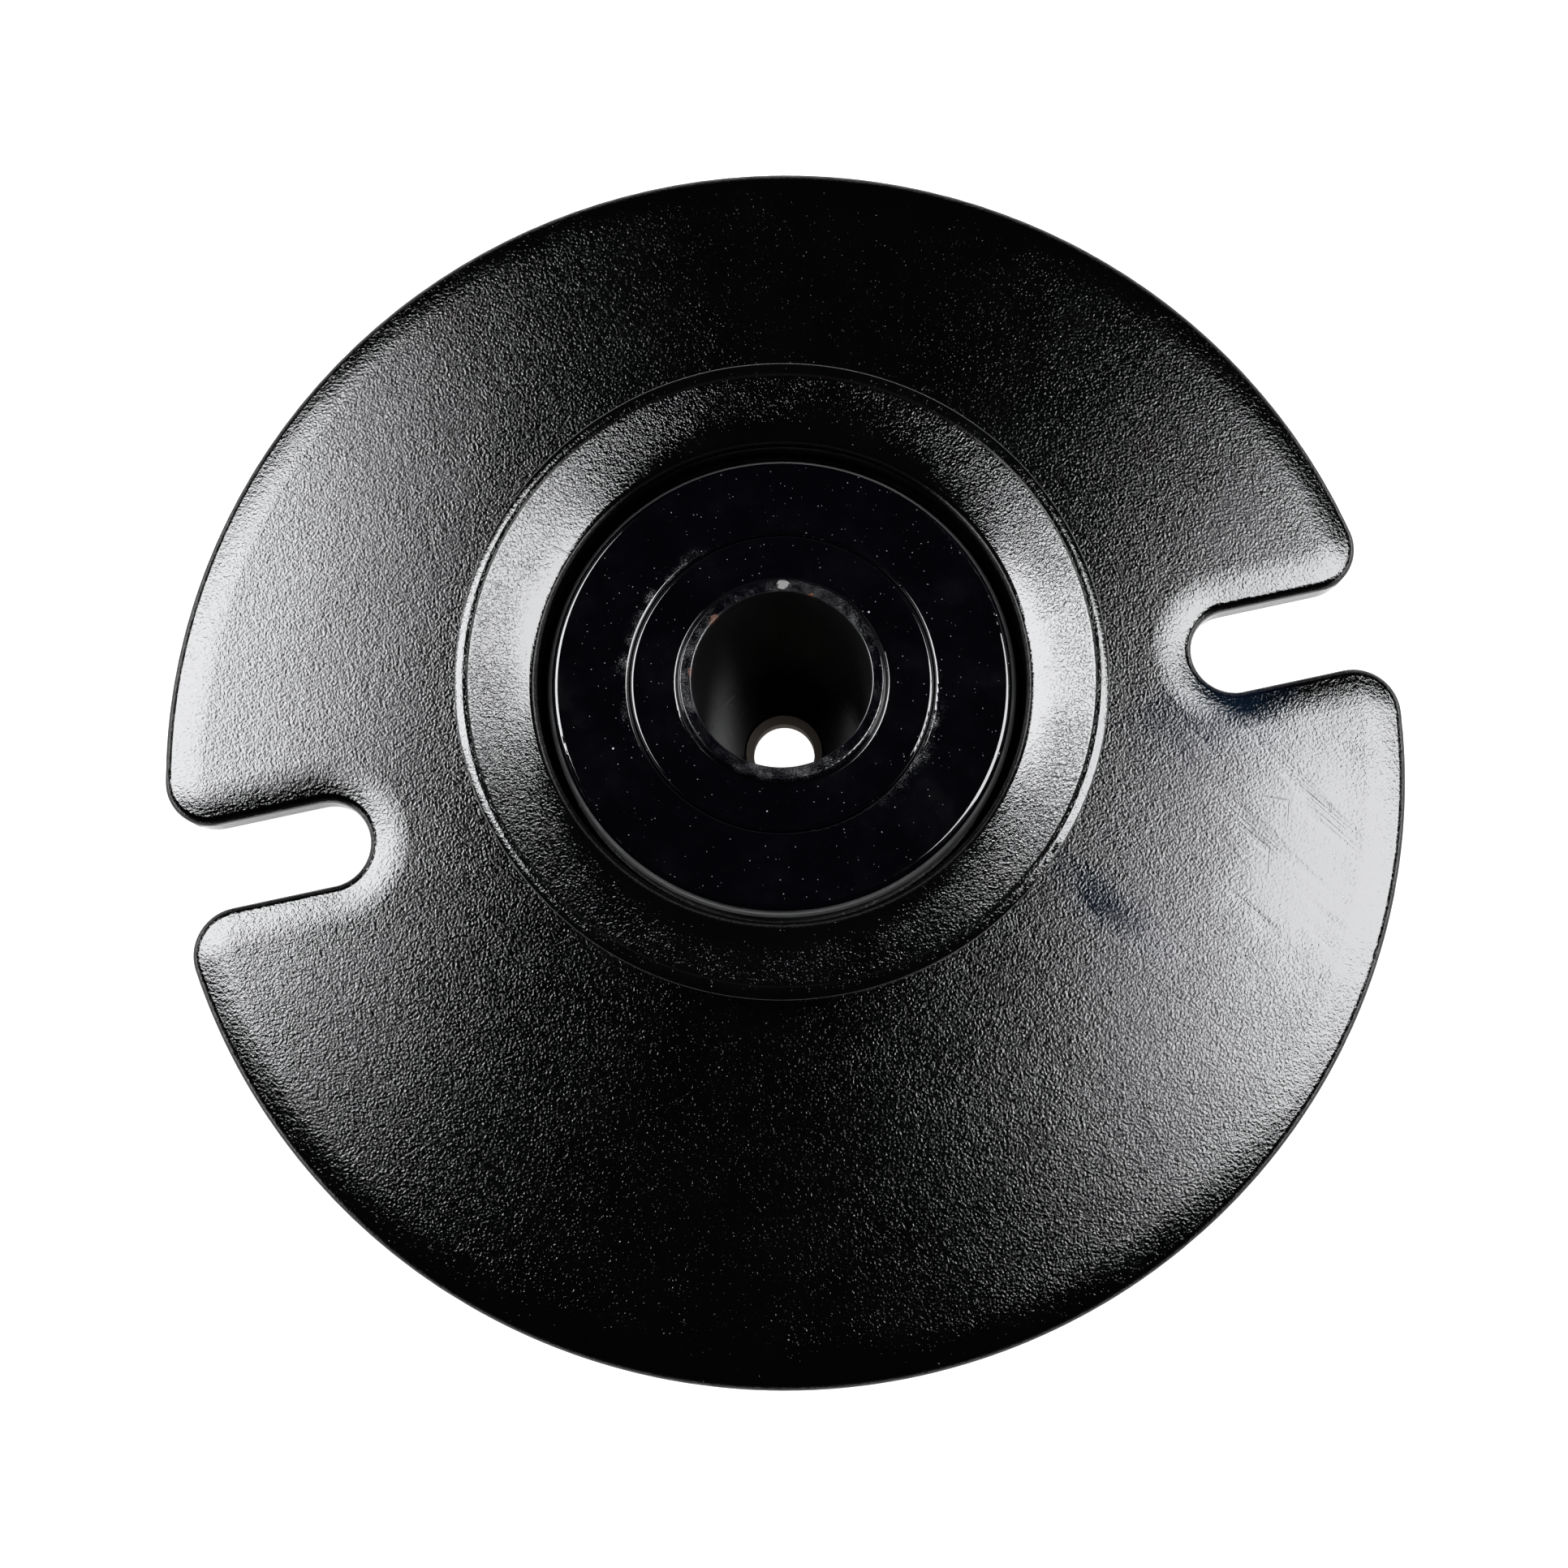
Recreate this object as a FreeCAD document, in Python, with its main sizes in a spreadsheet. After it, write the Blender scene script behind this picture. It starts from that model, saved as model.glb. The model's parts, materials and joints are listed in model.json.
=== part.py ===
import FreeCAD, Part
import math
import os
import Sketcher

# Disc-and-hub unit of a surface cleaner, in millimetres, +Z up.
# The origin is on the hub's axis, level with the bearing housing's lower face.
# The two bolt slots lie along X.

SIZES = {
    # deck: a pressed round plate with a crowned edge and two open slots
    "deck_radius": 100.0,
    "deck_top": 10.5,
    "deck_bottom": 5.1,
    "deck_sheet": 3.0,
    "deck_crown_width": 4.5,
    "deck_crown_drop": 0.6,
    "deck_crown_blend": 30.0,
    "deck_edge_round": 1.5,
    "deck_centre_hole": 32.1,
    "slot_width": 13.7,
    "slot_end": 68.0,
    "slot_mouth_round": 7.5,
    # joint between deck and housing
    "gasket_thickness": 1.0,
    "backing_outer": 41.5,
    "backing_gap": 0.2,
    "backing_thickness": 2.0,
    "screw_circle": 36.5,
    "screw_count": 6,
    "screw_radius": 2.0,
    "screw_clearance": 2.2,
    "screw_depth": 4.0,
    "tapped_spare": 0.4,
    "screw_head_radius": 3.5,
    "screw_head_height": 3.0,
    "screw_socket": 1.6,
    "screw_socket_depth": 1.8,
    "washer_radius": 4.1,
    "washer_thickness": 0.8,
    # bearing housing
    "foot_radius": 39.5,
    "foot_thickness": 5.0,
    "neck_radius": 33.0,
    "neck_top": 47.0,
    "neck_fillet": 2.5,
    "foot_edge_round": 1.0,
    "spigot_chamfer": 0.8,
    "spigot_radius": 32.0,
    "spigot_bottom": 0.0,
    "housing_lip": 23.0,
    "housing_lip_top": 5.8,
    # dished flange
    "flange_radius": 44.7,
    "flange_lip_top": 59.2,
    "flange_lip_height": 4.8,
    "flange_lip_slope": 43.95,
    "flange_lip_drop": 0.27,
    "flange_lip_crown": 2.5,
    "flange_lip_round": 0.3,
    "flange_lip_inner": 43.05,
    "flange_lip_under": 1.5,
    "flange_lip_corner": 1.0,
    "flange_lip_corner_round": 0.8,
    "flange_step": 0.3,
    "flange_step_width": 0.24,
    "flange_bowl_depth": 3.6,
    "flange_mouth": 33.85,
    "flange_crest_round": 1.5,
    "flange_skirt_radius": 38.5,
    "flange_skirt_bottom": 38.0,
    "flange_skirt_top": 50.0,
    "flange_skirt_edge": 1.0,
    "flange_skirt_root": 2.5,
    "set_screw_count": 3,
    "set_screw_height": 42.5,
    "set_screw_radius": 2.5,
    "set_screw_recess": 0.3,
    "set_screw_socket": 1.25,
    "set_screw_socket_depth": 2.0,
    # ball bearings, 30 x 55 x 13
    "bearing_bore": 15.0,
    "bearing_outer": 27.5,
    "bearing_width": 13.0,
    "bearing_chamfer": 0.8,
    "inner_race_outer": 18.6,
    "outer_race_inner": 23.9,
    "pitch_radius": 21.25,
    "ball_radius": 4.4,
    "ball_groove": 4.7,
    "ball_count": 9,
    "pocket_radius": 4.6,
    "cage_half_height": 5.2,
    "cage_half_wall": 0.8,
    "shield_inner": 18.9,
    "shield_thickness": 0.8,
    "shield_inset": 0.25,
    "lower_bearing_bottom": 7.6,
    "upper_bearing_bottom": 24.6,
    # rings between and beside the bearings
    "outer_spacer_inner": 25.0,
    "inner_spacer_outer": 17.6,
    "preload_inner": 23.6,
    "preload_thickness": 0.9,
    "preload_land": 0.4,
    "circlip_thickness": 1.7,
    "housing_clip_inner": 24.9,
    "housing_clip_groove": 28.5,
    "shaft_clip_outer": 16.6,
    "shaft_clip_groove": 13.9,
    "clip_opening": 30.0,
    "clip_lug_turn": 4.0,
    "clip_lug_offset": 1.0,
    "clip_lug_radius": 1.9,
    "clip_lug_hole": 0.8,
    # seals
    "seal_running_gap": 0.08,
    "seal_case": 1.2,
    "seal_lip_height": 2.2,
    "seal_lip_width": 1.9,
    "seal_lip_bevel": 0.7,
    "seal_lip_relief": 1.0,
    "seal_land": 0.6,
    "seal_recess": 0.3,
    "upper_seal_bottom": 40.0,
    "seal_sleeve_outer": 17.5,
    "lower_seal_bottom": 0.9,
    "lower_seal_top": 5.3,
    # hub
    "bore_radius": 12.5,
    "bore_floor": 4.8,
    "hub_bottom": 0.5,
    "centre_hole": 5.0,
    "floor_sink": 1.5,
    "hub_end_radius": 14.5,
    "hub_end_edge": 0.5,
    "hub_rim_top": 55.0,
    "hub_rim_radius": 14.15,
    "hub_rim_edge": 0.25,
    "hub_root_radius": 14.7,
    "hub_root_round": 0.5,
    "collar_radius": 21.25,
    "collar_ledge": 23.2,
    "collar_bottom": 48.0,
    "collar_ledge_top": 49.5,
    "cover_radius": 32.1,
    "cover_top": 53.5,
    "cover_round": 0.9,
    "seam_round": 0.6,
    "dust_ring_inner": 30.6,
    "dust_ring_outer": 32.8,
    "dust_ring_top": 51.8,
    "dust_ring_bottom": 49.2,
    "dust_ring_edge": 0.3,
    "dust_ridge": 0.12,
    "dust_ridge_step": 0.4,
}

FULL_TURN = 360.0
TOLERANCE = 1e-4
OVERRUN = 1.0       # how far a cutter reaches past the face it cuts
UP = FreeCAD.Vector(0, 0, 1)

doc = FreeCAD.newDocument("surface_cleaner_hub")
sheet = doc.addObject("Spreadsheet::Sheet", "Sizes")
for row, (alias, number) in enumerate(SIZES.items(), start=1):
    sheet.set(f"A{row}", alias)
    sheet.set(f"B{row}", str(number))
    sheet.setAlias(f"B{row}", alias)
doc.recompute()


class Size:
    """A length together with the spreadsheet formula that drives it."""

    def __init__(self, number, formula):
        self.number = number
        self.formula = formula

    def joined(self, sign, other, number):
        return Size(number, f"({self.formula} {sign} {other.formula})")

    def __add__(self, other):
        other = as_size(other)
        return self.joined("+", other, self.number + other.number)

    def __sub__(self, other):
        other = as_size(other)
        return self.joined("-", other, self.number - other.number)

    def __mul__(self, other):
        other = as_size(other)
        return self.joined("*", other, self.number * other.number)

    __rmul__ = __mul__

    def __truediv__(self, other):
        other = as_size(other)
        return self.joined("/", other, self.number / other.number)


def as_size(value):
    if isinstance(value, Size):
        return value
    return Size(float(value), repr(float(value)))


def size(alias):
    return Size(float(sheet.get(alias)), f"Sizes.{alias}")


def bind(target, prop, length):
    target.setExpression(prop, as_size(length).formula)


# ---------------------------------------------------------------- building blocks

def origin_plane(body, role):
    return next(item for item in body.Origin.OriginFeatures if item.Role == role)


def new_body(label):
    body = doc.addObject("PartDesign::Body", label)
    body.Label = label
    return body


def new_sketch(body, name, role):
    sketch = body.newObject("Sketcher::SketchObject", f"{body.Name}_{name}")
    sketch.AttachmentSupport = [(origin_plane(body, role), "")]
    sketch.MapMode = "FlatFace"
    return sketch


def new_feature(body, kind, name):
    return body.newObject(f"PartDesign::{kind}", f"{body.Name}_{name}")


def drive(sketch, length, kind, *places):
    """Adds a sketch dimension that the sheet drives."""
    index = sketch.addConstraint(Sketcher.Constraint(kind, *places, length.number))
    sketch.setExpression(f"Constraints[{index}]", length.formula)


def place_point(sketch, geometry, end, across, up):
    """Holds one end of a sketch line, or a circle's centre, at (across, up)."""
    drive(sketch, as_size(across), "DistanceX", -1, 1, geometry, end)
    drive(sketch, as_size(up), "DistanceY", -1, 1, geometry, end)


def draw_circle(sketch, radius, across=None, up=None):
    """Draws a circle; an offset from the origin that is left out is zero."""
    middle = FreeCAD.Vector(across.number if across else 0, up.number if up else 0, 0)
    circle = sketch.addGeometry(Part.Circle(middle, UP, radius.number), False)
    for kind, axis, length in (("DistanceX", -2, across), ("DistanceY", -1, up)):
        if length:
            drive(sketch, length, kind, -1, 1, circle, 3)
        else:
            sketch.addConstraint(Sketcher.Constraint("PointOnObject", circle, 3, axis))
    drive(sketch, radius, "Radius", circle)


def draw_outline(sketch, outline):
    """Draws a closed polygon through (radius, height) corners."""
    corners = [FreeCAD.Vector(as_size(a).number, as_size(b).number, 0) for a, b in outline]
    count = len(corners)
    first = sketch.GeometryCount
    for index in range(count):
        line = Part.LineSegment(corners[index], corners[(index + 1) % count])
        sketch.addGeometry(line, False)
    for index, (across, up) in enumerate(outline):
        following = first + (index + 1) % count
        sketch.addConstraint(Sketcher.Constraint("Coincident", first + index, 2, following, 1))
        place_point(sketch, first + index, 1, across, up)


def revolve(body, name, outline):
    """Adds the ring that the outline makes when it turns round the Z axis."""
    sketch = new_sketch(body, f"{name}_profile", "XZ_Plane")
    draw_outline(sketch, outline)
    ring = new_feature(body, "Revolution", name)
    ring.Profile = sketch
    ring.ReferenceAxis = (sketch, ["V_Axis"])
    doc.recompute()
    return ring


def groove(body, name, outline):
    """Cuts the ring that the outline makes when it turns round the Z axis."""
    before = body.Shape.Volume
    sketch = new_sketch(body, f"{name}_profile", "XZ_Plane")
    draw_outline(sketch, outline)
    cut = new_feature(body, "Groove", name)
    cut.Profile = sketch
    cut.ReferenceAxis = (sketch, ["V_Axis"])
    doc.recompute()
    require_less(body, before, name)
    return cut


def require_less(body, before, name):
    if body.Shape.Volume >= before - TOLERANCE:
        raise ValueError(f"{body.Label}: {name} cut nothing")


def circle_edges(body, radius, height):
    """Names the circular edges of this radius at this height."""
    names = []
    for number, edge in enumerate(body.Shape.Edges, start=1):
        if not isinstance(edge.Curve, Part.Circle):
            continue
        same_radius = abs(edge.Curve.Radius - as_size(radius).number) < TOLERANCE
        same_height = abs(edge.Curve.Center.z - as_size(height).number) < TOLERANCE
        if same_radius and same_height:
            names.append(f"Edge{number}")
    return names


def round_circles(body, name, round_size, spots, kind="Fillet"):
    """Rounds or chamfers the circular edges at the given (radius, height) spots."""
    edges = []
    for radius, height in spots:
        found = circle_edges(body, radius, height)
        if not found:
            raise ValueError(f"{body.Label}: no edge for {name}")
        edges += found
    feature = new_feature(body, kind, name)
    feature.Base = (feature.BaseFeature, edges)
    bind(feature, "Radius" if kind == "Fillet" else "Size", round_size)
    doc.recompute()
    return feature


def cut_pocket(body, name, sketch, depth=None):
    """Cuts the sketch right through both ways, or from its plane to this depth."""
    before = body.Shape.Volume
    cut = new_feature(body, "Pocket", name)
    cut.Profile = sketch
    if depth is None:
        cut.Type = "ThroughAll"
        cut.SideType = "Symmetric"
    else:
        cut.Reversed = True
        bind(cut, "Length", depth)
    doc.recompute()
    require_less(body, before, name)
    return cut


def repeat_round_axis(body, name, feature, sketch, count):
    """Repeats a cut evenly round the line at right angles to this sketch."""
    pattern = new_feature(body, "PolarPattern", name)
    pattern.Originals = [feature]
    pattern.Axis = (sketch, ["N_Axis"])
    pattern.Angle = FULL_TURN
    bind(pattern, "Occurrences", count)
    body.Tip = pattern
    doc.recompute()


def drill_centre(body, name, radius):
    """Cuts a round hole straight through on the Z axis."""
    sketch = new_sketch(body, name, "XY_Plane")
    draw_circle(sketch, radius)
    cut_pocket(body, f"{name}_cut", sketch)


def drill_circle(body, name, radius, circle_radius, count, depth=None):
    """Drills straight holes, parallel to Z, evenly round a circle."""
    sketch = new_sketch(body, name, "XY_Plane")
    draw_circle(sketch, radius, circle_radius)
    hole = cut_pocket(body, f"{name}_hole", sketch, depth)
    repeat_round_axis(body, f"{name}_pattern", hole, sketch, count)


def plain_ring(label, inner, outer, bottom, top):
    body = new_body(label)
    revolve(body, "ring", [(inner, bottom), (outer, bottom), (outer, top), (inner, top)])
    return body


def cylinder(name, radius, height, across=0, up=0):
    solid = doc.addObject("Part::Cylinder", name)
    bind(solid, "Radius", radius)
    bind(solid, "Height", height)
    bind(solid, "Placement.Base.x", across)
    bind(solid, "Placement.Base.z", up)
    return solid


def group(label, members):
    """Gathers separate solids under one label."""
    gathered = doc.addObject("Part::MultiFuse", label)
    gathered.Label = label
    gathered.Shapes = members
    return gathered


# ---------------------------------------------------------------- deck

def upright_edges(body, radius_low, radius_high):
    """Names the edges parallel to Z whose distance from the axis is in this band."""
    names = []
    for number, edge in enumerate(body.Shape.Edges, start=1):
        if not isinstance(edge.Curve, Part.Line):
            continue
        if abs(edge.Curve.Direction.z) < 1 - TOLERANCE:
            continue
        middle = edge.CenterOfMass
        if radius_low < math.hypot(middle.x, middle.y) < radius_high:
            names.append(f"Edge{number}")
    return names


def outline_edges(body, height):
    """Names every edge that lies flat at this height."""
    names = []
    for number, edge in enumerate(body.Shape.Edges, start=1):
        flat = edge.BoundBox.ZMax - edge.BoundBox.ZMin < TOLERANCE
        if flat and abs(edge.BoundBox.ZMax - height) < TOLERANCE:
            names.append(f"Edge{number}")
    return names


def draw_slot(sketch, half_width, end, reach):
    """Draws a bolt slot along +X: a half-round closed end, open past the rim."""
    centre = end + half_width
    circle = Part.Circle(FreeCAD.Vector(centre.number, 0, 0), UP, half_width.number)
    sketch.addGeometry(Part.ArcOfCircle(circle, math.pi / 2, 3 * math.pi / 2), False)
    upper = [FreeCAD.Vector(x.number, half_width.number, 0) for x in (centre, reach)]
    lower = [FreeCAD.Vector(x.number, -half_width.number, 0) for x in (centre, reach)]
    sketch.addGeometry(Part.LineSegment(lower[0], lower[1]), False)
    sketch.addGeometry(Part.LineSegment(lower[1], upper[1]), False)
    sketch.addGeometry(Part.LineSegment(upper[1], upper[0]), False)
    sketch.addConstraint(Sketcher.Constraint("Tangent", 0, 2, 1, 1))
    sketch.addConstraint(Sketcher.Constraint("Coincident", 1, 2, 2, 1))
    sketch.addConstraint(Sketcher.Constraint("Coincident", 2, 2, 3, 1))
    sketch.addConstraint(Sketcher.Constraint("Tangent", 3, 2, 0, 1))
    sketch.addConstraint(Sketcher.Constraint("Horizontal", 1))
    sketch.addConstraint(Sketcher.Constraint("Vertical", 2))
    sketch.addConstraint(Sketcher.Constraint("PointOnObject", 0, 3, -1))
    drive(sketch, half_width, "Radius", 0)
    drive(sketch, centre, "DistanceX", -1, 1, 0, 3)
    drive(sketch, reach, "DistanceX", -1, 1, 1, 2)


def cut_slots(body):
    sketch = new_sketch(body, "slot", "XY_Plane")
    reach = size("deck_radius") + OVERRUN
    draw_slot(sketch, size("slot_width") / 2, size("slot_end"), reach)
    slot = cut_pocket(body, "slot_cut", sketch)
    repeat_round_axis(body, "slot_pair", slot, sketch, 2)


def underside_face(body, height):
    for number, face in enumerate(body.Shape.Faces, start=1):
        if abs(face.BoundBox.ZMax - height.number) < TOLERANCE:
            return f"Face{number}"
    raise ValueError(f"{body.Label}: no face lies at the bottom")


def shape_deck_edge(body):
    """Gives the top's outline a shallow crown that ends in a tight corner."""
    top = size("deck_top")
    drop = size("deck_crown_drop")
    crown = new_feature(body, "Chamfer", "crown")
    crown.Base = (crown.BaseFeature, outline_edges(body, top.number))
    crown.ChamferType = "Two distances"
    bind(crown, "Size", drop)
    bind(crown, "Size2", size("deck_crown_width"))
    doc.recompute()
    for name, height, radius in (
        ("corner", top - drop, size("deck_edge_round")),
        ("crown_blend", top, size("deck_crown_blend")),
    ):
        soft = new_feature(body, "Fillet", name)
        soft.Base = (soft.BaseFeature, outline_edges(body, height.number))
        bind(soft, "Radius", radius)
        doc.recompute()


def make_deck_plate():
    body = new_body("deck_plate")
    radius = size("deck_radius")
    profile = new_sketch(body, "disc", "XY_Plane")
    draw_circle(profile, radius)
    disc = new_feature(body, "Pad", "disc_pad")
    disc.Profile = profile
    bottom = size("deck_bottom")
    bind(profile, "AttachmentOffset.Base.z", bottom)
    bind(disc, "Length", size("deck_top") - bottom)
    doc.recompute()

    cut_slots(body)

    mouths = new_feature(body, "Fillet", "mouth_rounds")
    near_rim = radius.number - size("slot_width").number
    mouths.Base = (mouths.BaseFeature, upright_edges(body, near_rim, radius.number + OVERRUN))
    bind(mouths, "Radius", size("slot_mouth_round"))
    doc.recompute()

    before = body.Shape.Volume
    shell = new_feature(body, "Thickness", "sheet")
    shell.Base = (shell.BaseFeature, [underside_face(body, bottom)])
    shell.Reversed = True
    bind(shell, "Value", size("deck_sheet"))
    doc.recompute()
    require_less(body, before, "sheet")

    shape_deck_edge(body)
    drill_centre(body, "centre_hole", size("deck_centre_hole"))
    drill_circle(body, "screw_holes", size("screw_clearance"), size("screw_circle"),
                 size("screw_count"))
    return body


def make_deck_joint():
    """Gasket above the deck, backing ring, washers and screws below it."""
    deck_top = size("deck_top")
    deck_under = deck_top - size("deck_sheet")
    ring_bottom = deck_under - size("backing_thickness")
    hole = size("deck_centre_hole")
    count = size("screw_count")
    circle = size("screw_circle")

    gasket = plain_ring("deck_gasket", hole, size("foot_radius"), deck_top,
                        deck_top + size("gasket_thickness"))
    drill_circle(gasket, "screw_holes", size("screw_clearance"), circle, count)

    backing = plain_ring("backing_ring", hole + size("backing_gap"), size("backing_outer"),
                         ring_bottom, deck_under)
    drill_circle(backing, "screw_holes", size("screw_clearance"), circle, count)

    washer_bottom = ring_bottom - size("washer_thickness")
    head_bottom = washer_bottom - size("screw_head_height")
    reach = size("gasket_thickness") + size("screw_depth")
    shank_length = deck_top - washer_bottom + reach
    screws = []
    washers = []
    for number in range(int(count.number)):
        direction = outward(FULL_TURN * number / count.number)
        across = circle * direction.x
        aside = circle * direction.y

        washer = cylinder(f"washer_body_{number}", size("washer_radius"), size("washer_thickness"),
                          across, washer_bottom)
        opening = cylinder(f"washer_hole_{number}", size("screw_clearance"),
                           size("washer_thickness") + 2 * OVERRUN, across,
                           washer_bottom - OVERRUN)
        head = cylinder(f"screw_head_{number}", size("screw_head_radius"),
                        size("screw_head_height"), across, head_bottom)
        shank = cylinder(f"screw_shank_{number}", size("screw_radius"), shank_length,
                         across, washer_bottom)
        socket = hex_prism(f"screw_socket_{number}", size("screw_socket"),
                           size("screw_socket_depth"))
        bind(socket, "Placement.Base.x", across)
        bind(socket, "Placement.Base.z", head_bottom)
        for solid in (washer, opening, head, shank, socket):
            bind(solid, "Placement.Base.y", aside)

        ring = doc.addObject("Part::Cut", f"washer_{number}")
        ring.Base = washer
        ring.Tool = opening
        washers.append(ring)

        blank = doc.addObject("Part::Fuse", f"screw_blank_{number}")
        blank.Base = head
        blank.Tool = shank
        screw = doc.addObject("Part::Cut", f"screw_{number}")
        screw.Base = blank
        screw.Tool = socket
        screws.append(screw)
    return [gasket, backing, group("deck_screws", screws), group("deck_washers", washers)]


def hex_prism(name, across_corners, height):
    prism = doc.addObject("Part::Prism", name)
    prism.Polygon = 6
    bind(prism, "Circumradius", across_corners)
    bind(prism, "Height", height)
    return prism


# ---------------------------------------------------------------- housing and flange

def make_bearing_housing():
    body = new_body("bearing_housing")
    bore = size("bearing_outer")
    lip = size("housing_lip")
    lip_top = size("housing_lip_top")
    spigot = size("spigot_radius")
    bottom = size("spigot_bottom")
    foot = size("foot_radius")
    foot_bottom = size("deck_top") + size("gasket_thickness")
    foot_top = foot_bottom + size("foot_thickness")
    neck = size("neck_radius")
    top = size("neck_top")
    revolve(body, "casting", [
        (lip, bottom),
        (spigot, bottom),
        (spigot, foot_bottom),
        (foot, foot_bottom),
        (foot, foot_top),
        (neck, foot_top),
        (neck, top),
        (bore, top),
        (bore, lip_top),
        (lip, lip_top),
    ])
    round_circles(body, "foot_fillet", size("neck_fillet"), [(neck, foot_top)])
    round_circles(body, "foot_edge", size("foot_edge_round"), [(foot, foot_top)])
    round_circles(body, "spigot_edge", size("spigot_chamfer"), [(spigot, bottom)], "Chamfer")

    clip_bottom = size("upper_bearing_bottom") + size("bearing_width")
    clip_top = clip_bottom + size("circlip_thickness")
    cut_from = bore - OVERRUN
    clip = size("housing_clip_groove")
    groove(body, "clip_groove",
           [(cut_from, clip_bottom), (clip, clip_bottom), (clip, clip_top), (cut_from, clip_top)])

    tapped_depth = foot_bottom + size("screw_depth") + size("tapped_spare")
    drill_circle(body, "tapped_holes", size("screw_radius"), size("screw_circle"),
                 size("screw_count"), tapped_depth)
    return body


def make_upper_flange():
    """A dish: rounded lip, fine step, band sloping in and down to the mouth of the hub."""
    body = new_body("upper_flange")
    rim = size("flange_radius")
    lip_top = size("flange_lip_top")
    lip_bottom = lip_top - size("flange_lip_height")
    lip_corner = lip_bottom + size("flange_lip_corner")
    lip_edge = lip_top - size("flange_lip_drop")
    lip_inner = size("flange_lip_inner")
    slope = size("flange_lip_slope")
    step = size("flange_step")
    mouth = size("flange_mouth")
    band_bottom = lip_top - size("flange_bowl_depth")
    neck = size("neck_radius")
    skirt = size("flange_skirt_radius")
    skirt_bottom = size("flange_skirt_bottom")
    skirt_top = size("flange_skirt_top")
    neck_top = size("neck_top")
    revolve(body, "dish", [
        (neck, skirt_bottom),
        (skirt, skirt_bottom),
        (skirt, skirt_top),
        (rim - size("flange_lip_under"), lip_bottom),
        (rim, lip_corner),
        (rim, lip_edge),
        (slope, lip_top),
        (lip_inner, lip_top),
        (lip_inner - size("flange_step_width"), lip_top - step),
        (mouth, band_bottom),
        (mouth, neck_top),
        (neck, neck_top),
    ])
    round_circles(body, "crest", size("flange_crest_round"), [(mouth, band_bottom)])
    round_circles(body, "lip_crown", size("flange_lip_crown"), [(slope, lip_top)])
    round_circles(body, "lip", size("flange_lip_round"), [(rim, lip_edge)])
    round_circles(body, "lip_under", size("flange_lip_corner_round"), [(rim, lip_corner)])
    round_circles(body, "skirt_edge", size("flange_skirt_edge"), [(skirt, skirt_bottom)])
    round_circles(body, "skirt_root", size("flange_skirt_root"), [(skirt, skirt_top)])

    sketch = new_sketch(body, "set_screw_hole", "YZ_Plane")
    draw_circle(sketch, size("set_screw_radius"), None, size("set_screw_height"))
    hole = cut_pocket(body, "set_screw_cut", sketch, rim)
    level = new_sketch(body, "level", "XY_Plane")
    repeat_round_axis(body, "set_screw_pattern", hole, level, size("set_screw_count"))
    return body


def outward(angle):
    """The level direction at this many degrees round the Z axis."""
    turn = math.radians(angle)
    return FreeCAD.Vector(math.cos(turn), math.sin(turn), 0)


def lay_outward(solid, direction):
    """Turns a solid that stands along Z so that it points this way."""
    turn = FreeCAD.Rotation(UP, direction)
    solid.Placement = FreeCAD.Placement(solid.Placement.Base, turn)


def make_flange_set_screws():
    neck = size("neck_radius")
    length = size("flange_skirt_radius") - neck - size("set_screw_recess")
    depth = size("set_screw_socket_depth")
    count = int(size("set_screw_count").number)
    screws = []
    for number in range(count):
        shank = cylinder(f"set_screw_body_{number}", size("set_screw_radius"), length)
        socket = hex_prism(f"set_screw_socket_{number}", size("set_screw_socket"), depth + OVERRUN)
        bind(socket, "Placement.Base.z", length - depth)
        screw = doc.addObject("Part::Cut", f"set_screw_{number}")
        screw.Base = shank
        screw.Tool = socket
        direction = outward(FULL_TURN * number / count)
        lay_outward(screw, direction)
        bind(screw, "Placement.Base.x", neck * direction.x)
        bind(screw, "Placement.Base.y", neck * direction.y)
        bind(screw, "Placement.Base.z", size("set_screw_height"))
        screws.append(screw)
    return group("flange_set_screws", screws)


# ---------------------------------------------------------------- bearings

def make_race(label, wall, groove_side, bottom):
    """One bearing ring: a plain ring with a ball groove turned into one side."""
    top = bottom + size("bearing_width")
    middle = bottom + size("bearing_width") / 2
    inner, outer = sorted((wall, groove_side), key=lambda length: length.number)
    body = plain_ring(label, inner, outer, bottom, top)
    round_circles(body, "corners", size("bearing_chamfer"), [(wall, bottom), (wall, top)], "Chamfer")

    before = body.Shape.Volume
    sketch = new_sketch(body, "ball_groove", "XZ_Plane")
    draw_circle(sketch, size("ball_groove"), size("pitch_radius"), middle)
    cut = new_feature(body, "Groove", "ball_groove_cut")
    cut.Profile = sketch
    cut.ReferenceAxis = (sketch, ["V_Axis"])
    doc.recompute()
    require_less(body, before, "ball groove")
    return body


def make_balls(label, middle):
    balls = []
    count = int(size("ball_count").number)
    for number in range(count):
        direction = outward(FULL_TURN * number / count)
        ball = doc.addObject("Part::Sphere", f"{label}_{number}")
        bind(ball, "Radius", size("ball_radius"))
        bind(ball, "Placement.Base.x", size("pitch_radius") * direction.x)
        bind(ball, "Placement.Base.y", size("pitch_radius") * direction.y)
        bind(ball, "Placement.Base.z", middle)
        balls.append(ball)
    return group(label, balls)


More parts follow.
